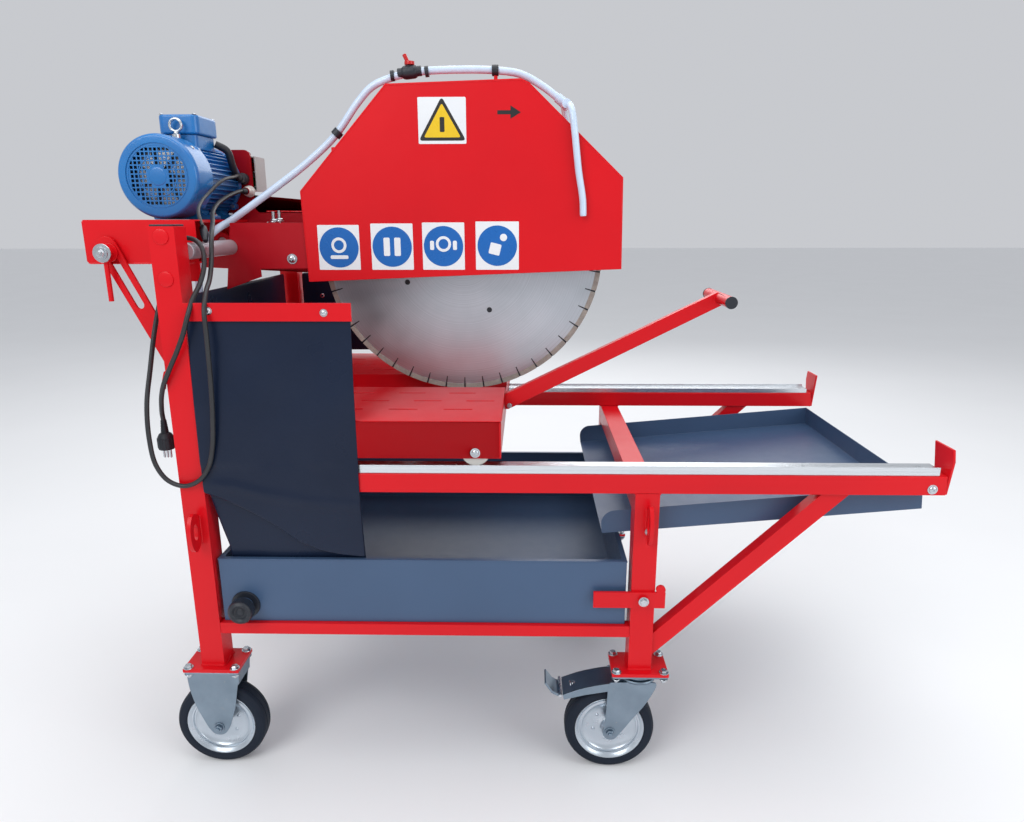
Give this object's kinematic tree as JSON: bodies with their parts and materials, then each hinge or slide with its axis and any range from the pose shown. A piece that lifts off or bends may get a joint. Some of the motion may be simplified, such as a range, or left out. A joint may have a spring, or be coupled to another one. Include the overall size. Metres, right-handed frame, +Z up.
{
  "type": "masonry saw",
  "caption": "Wheeled masonry saw with a sliding cart on rails, a tilting belt-driven blade head, splash curtains, a water tank and a drip tray.",
  "frame": {"origin": "on the floor, under the middle of the saw without its supply cord", "axes": "+X along the rails towards the operator, +Y from the near side to the far side, +Z up"},
  "size_m": [1.7444, 0.864, 1.5457],
  "materials": {
    "red_paint": "glossy powder coat",
    "anthracite_paint": "satin powder coat",
    "blue_paint": "glossy enamel on cast aluminium",
    "curtain_rubber": "satin sheet rubber",
    "belt_rubber": "matte",
    "cord_rubber": "satin sheath",
    "tyre_rubber": "moulded rubber on a pressed rim",
    "zinc": "bright zinc plate",
    "steel": "ground steel",
    "aluminium": "extruded",
    "black_plastic": "moulded",
    "white_plastic": "moulded",
    "grey_plastic": "moulded",
    "red_plastic": "moulded",
    "green_plastic": "moulded",
    "hose_pvc": "translucent flexible tube"
  },
  "bodies": {
    "frame": {"rear_leg_near": "red_paint", "rear_leg_far": "red_paint", "front_leg_near": "red_paint", "front_leg_far": "red_paint", "side_rail_near": "red_paint", "side_rail_far": "red_paint", "track_near": "aluminium", "track_far": "aluminium", "end_stop_near": "red_paint", "end_stop_far": "red_paint", "lower_frame": "red_paint", "front_crossbar": "red_paint", "curtain_near": "curtain_rubber", "curtain_rear": "curtain_rubber", "tank": "anthracite_paint", "water_pump": "black_plastic", "catch_tray": "anthracite_paint", "rear_fork_near": "zinc", "rear_fork_far": "zinc", "power_cord": "cord_rubber", "plug": "cord_rubber"},
    "rear_wheel_near": {"rear_wheel_near": "tyre_rubber"},
    "rear_wheel_far": {"rear_wheel_far": "tyre_rubber"},
    "drain_plug": {"drain_plug": "black_plastic"},
    "tank_latch": {"tank_latch": "red_paint"},
    "front_caster_near": {"front_fork_near": "zinc"},
    "front_caster_far": {"front_fork_far": "zinc"},
    "front_wheel_near": {"front_wheel_near": "tyre_rubber"},
    "front_wheel_far": {"front_wheel_far": "tyre_rubber"},
    "brake_pedal_near": {"brake_pedal_near": "zinc"},
    "brake_pedal_far": {"brake_pedal_far": "zinc"},
    "cart": {"cart_table": "red_paint", "cart_handle": "red_paint"},
    "roller_rear_near": {"roller_rear_near": "white_plastic"},
    "roller_rear_far": {"roller_rear_far": "white_plastic"},
    "roller_front_near": {"roller_front_near": "white_plastic"},
    "roller_front_far": {"roller_front_far": "white_plastic"},
    "head": {"head_frame": "red_paint", "swing_arm": "red_paint", "pivot_shaft": "zinc", "blade_guard": "red_paint", "belt_guard": "red_paint", "spindle_housing": "red_paint", "motor_body": "blue_paint", "fan_cowl": "blue_paint", "motor_belt": "belt_rubber", "arm_belt": "belt_rubber", "switch_box": "grey_plastic", "valve_body": "black_plastic", "water_hose": "hose_pvc"},
    "motor_rotor": {"motor_rotor": "steel"},
    "countershaft": {"countershaft": "steel"},
    "blade_rotor": {"blade_spindle": "steel", "blade": "steel", "blade_flange": "steel"},
    "slotted_link": {"slotted_link": "red_paint"},
    "clamp_handle": {"clamp_handle": "red_paint"},
    "valve_lever": {"valve_lever": "red_plastic"},
    "start_button": {"start_button": "green_plastic"},
    "stop_button": {"stop_button": "red_plastic"}
  },
  "joints": [
    {"name": "head_tilt", "type": "hinge", "parent": "frame", "child": "head", "pos_m": [-0.64715, 0, 1.143], "axis": [0, -1, 0], "range_deg": [0, 25]},
    {"name": "blade_spin", "type": "hinge", "parent": "head", "child": "blade_rotor", "pos_m": [-0.13315, 0, 1.127], "axis": [0, 1, 0], "continuous": true},
    {"name": "countershaft_spin", "type": "hinge", "parent": "head", "child": "countershaft", "pos_m": [-0.75115, 0.1445, 1.148], "axis": [0, 1, 0], "continuous": true},
    {"name": "motor_spin", "type": "hinge", "parent": "head", "child": "motor_rotor", "pos_m": [-0.77115, -0.0065, 1.293], "axis": [0, 1, 0], "continuous": true},
    {"name": "link_swing", "type": "hinge", "parent": "frame", "child": "slotted_link", "pos_m": [-0.67615, -0.2935, 0.83], "axis": [0, -1, 0], "range_deg": [0, 3.7]},
    {"name": "clamp_turn", "type": "hinge", "parent": "head", "child": "clamp_handle", "pos_m": [-0.82115, -0.3115, 1.139], "axis": [0, -1, 0], "range_deg": [-60, 90]},
    {"name": "valve_turn", "type": "hinge", "parent": "head", "child": "valve_lever", "pos_m": [-0.23215, -0.0865, 1.526], "axis": [0, 0, 1], "range_deg": [0, 90]},
    {"name": "start_push", "type": "slide", "parent": "head", "child": "start_button", "axis": [0, -1, 0], "range_m": [0, 0.004], "stiffness_N_per_m": 400},
    {"name": "stop_push", "type": "slide", "parent": "head", "child": "stop_button", "axis": [0, -1, 0], "range_m": [0, 0.004], "stiffness_N_per_m": 400},
    {"name": "cart_slide", "type": "slide", "parent": "frame", "child": "cart", "axis": [1, 0, 0], "range_m": [0, 0.89]},
    {"name": "roller_spin_rear_near", "type": "hinge", "parent": "cart", "child": "roller_rear_near", "pos_m": [-0.56915, -0.3605, 0.74556], "axis": [0, 1, 0], "continuous": true},
    {"name": "roller_spin_rear_far", "type": "hinge", "parent": "cart", "child": "roller_rear_far", "pos_m": [-0.56915, 0.3605, 0.74556], "axis": [0, 1, 0], "continuous": true},
    {"name": "roller_spin_front_near", "type": "hinge", "parent": "cart", "child": "roller_front_near", "pos_m": [-0.08215, -0.3605, 0.74556], "axis": [0, 1, 0], "continuous": true},
    {"name": "roller_spin_front_far", "type": "hinge", "parent": "cart", "child": "roller_front_far", "pos_m": [-0.08215, 0.3605, 0.74556], "axis": [0, 1, 0], "continuous": true},
    {"name": "rear_wheel_spin_near", "type": "hinge", "parent": "frame", "child": "rear_wheel_near", "pos_m": [-0.66615, -0.3615, 0.1], "axis": [0, 1, 0], "continuous": true},
    {"name": "caster_swivel_near", "type": "hinge", "parent": "frame", "child": "front_caster_near", "pos_m": [0.26885, -0.3615, 0.233], "axis": [0, 0, 1], "continuous": true},
    {"name": "front_wheel_spin_near", "type": "hinge", "parent": "front_caster_near", "child": "front_wheel_near", "pos_m": [0.20885, -0.3615, 0.1], "axis": [0, 1, 0], "continuous": true},
    {"name": "brake_press_near", "type": "hinge", "parent": "front_caster_near", "child": "brake_pedal_near", "pos_m": [0.09785, -0.3615, 0.192], "axis": [0, -1, 0], "range_deg": [0, 20]},
    {"name": "rear_wheel_spin_far", "type": "hinge", "parent": "frame", "child": "rear_wheel_far", "pos_m": [-0.66615, 0.3615, 0.1], "axis": [0, 1, 0], "continuous": true},
    {"name": "caster_swivel_far", "type": "hinge", "parent": "frame", "child": "front_caster_far", "pos_m": [0.26885, 0.3615, 0.233], "axis": [0, 0, 1], "continuous": true},
    {"name": "front_wheel_spin_far", "type": "hinge", "parent": "front_caster_far", "child": "front_wheel_far", "pos_m": [0.20885, 0.3615, 0.1], "axis": [0, 1, 0], "continuous": true},
    {"name": "brake_press_far", "type": "hinge", "parent": "front_caster_far", "child": "brake_pedal_far", "pos_m": [0.09785, 0.3615, 0.192], "axis": [0, -1, 0], "range_deg": [0, 20]},
    {"name": "drain_plug_pull", "type": "slide", "parent": "frame", "child": "drain_plug", "axis": [0, -1, 0], "range_m": [0, 0.04]},
    {"name": "tank_latch_turn", "type": "hinge", "parent": "frame", "child": "tank_latch", "pos_m": [0.26885, -0.3895, 0.425], "axis": [0, -1, 0], "range_deg": [0, 90]}
  ],
  "couplings": [
    {"joint": "countershaft_spin", "follows": "blade_spin", "ratio": 1.4286},
    {"joint": "motor_spin", "follows": "blade_spin", "ratio": 1.8045},
    {"joint": "link_swing", "follows": "head_tilt", "ratio": 0.146},
    {"joint": "roller_spin_rear_near", "follows": "cart_slide", "rad_per_m": 33.333},
    {"joint": "roller_spin_rear_far", "follows": "cart_slide", "rad_per_m": 33.333},
    {"joint": "roller_spin_front_near", "follows": "cart_slide", "rad_per_m": 33.333},
    {"joint": "roller_spin_front_far", "follows": "cart_slide", "rad_per_m": 33.333}
  ]
}
